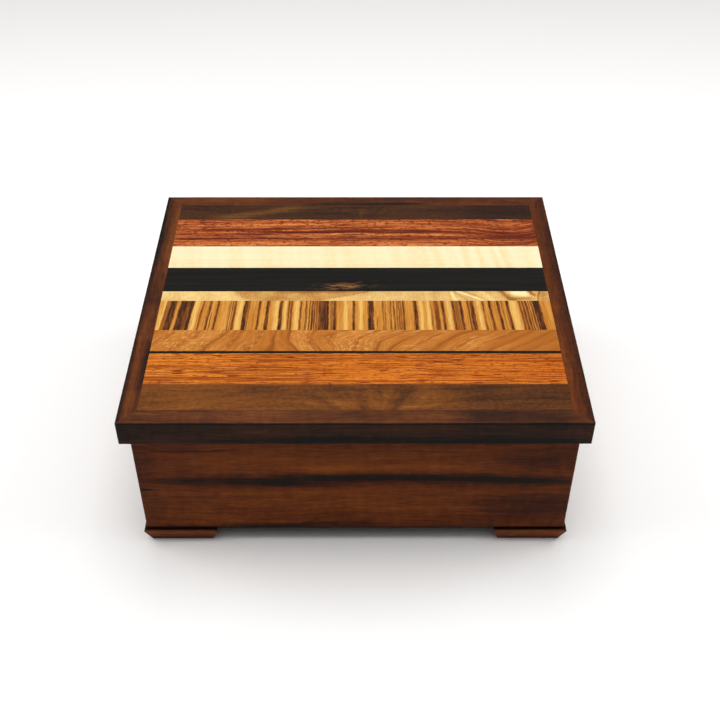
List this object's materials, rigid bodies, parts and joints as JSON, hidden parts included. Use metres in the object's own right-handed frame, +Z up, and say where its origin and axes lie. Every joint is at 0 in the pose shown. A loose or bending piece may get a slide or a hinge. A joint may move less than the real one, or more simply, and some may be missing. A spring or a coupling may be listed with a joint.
{
  "type": "jewellery box",
  "caption": "Rectangular wooden box with a striped inlaid lid on brass hinges, a sliding inner tray and mitred corner feet, for keeping jewellery and small things.",
  "frame": {"origin": "on the table under the middle of the box", "axes": "+Z up, +X to the right seen from the front, +Y to the hinged back"},
  "size_m": [0.2032, 0.1748, 0.0818],
  "materials": {
    "case_wood": "oiled dark red-brown wood with near-black streaks, satin",
    "walnut": "dark brown wood with long grain, satin",
    "padauk": "orange wood with short dark pores, satin",
    "ebony": "near-black wood, satin",
    "cherry": "tan wood with a soft wavy figure, satin",
    "zebrawood": "gold wood with dark stripes across the strip, satin",
    "canarywood": "pale yellow wood with a swirled figure, satin",
    "maple": "cream wood with a faint cross curl, satin",
    "bubinga": "red-brown wood with wavy dark lines, satin",
    "ply": "plain brown panel wood",
    "tray_wood": "red-brown wood, satin",
    "suede": "black suede with a short nap",
    "brass": "solid brass, fine brushed"
  },
  "bodies": {
    "case": {"front_board": "case_wood", "back_board": "case_wood", "left_board": "case_wood", "right_board": "case_wood", "front_left_foot_face": "case_wood", "front_left_foot_return": "case_wood", "front_right_foot_face": "case_wood", "front_right_foot_return": "case_wood", "back_left_foot_face": "case_wood", "back_left_foot_return": "case_wood", "back_right_foot_face": "case_wood", "back_right_foot_return": "case_wood", "corner_splines": "ply", "bottom_panel": "ply", "front_ledge": "tray_wood", "back_ledge": "tray_wood", "bottom_pad": "suede", "case_leaf_screws": "brass", "left_hinge_case_leaf": "brass", "left_hinge_pin": "brass", "right_hinge_case_leaf": "brass", "right_hinge_pin": "brass"},
    "lid": {"lid_front_rail": "case_wood", "lid_back_rail": "case_wood", "lid_left_rail": "case_wood", "lid_right_rail": "case_wood", "front_walnut_strip": "walnut", "padauk_strip": "padauk", "ebony_line": "ebony", "cherry_strip": "cherry", "zebrawood_strip": "zebrawood", "canarywood_strip": "canarywood", "ebony_strip": "ebony", "maple_strip": "maple", "bubinga_strip": "bubinga", "back_walnut_strip": "walnut", "lid_splines": "ply", "lid_core": "ply", "lid_pad": "suede", "left_hinge_lid_leaf": "brass", "right_hinge_lid_leaf": "brass", "lid_leaf_screws": "brass"},
    "tray": {"tray_front": "tray_wood", "tray_back": "tray_wood", "tray_left": "tray_wood", "tray_right": "tray_wood", "tray_bottom": "ply", "tray_long_divider": "tray_wood", "tray_cross_divider": "tray_wood", "tray_pads": "suede"}
  },
  "joints": [
    {"name": "lid_hinge", "type": "hinge", "parent": "case", "child": "lid", "pos_m": [0, 0.0836, 0.0691], "axis": [-1, 0, 0], "range_deg": [0, 95]},
    {"name": "tray_slide", "type": "slide", "parent": "case", "child": "tray", "axis": [1, 0, 0], "range_m": [0, 0.0886]}
  ]
}
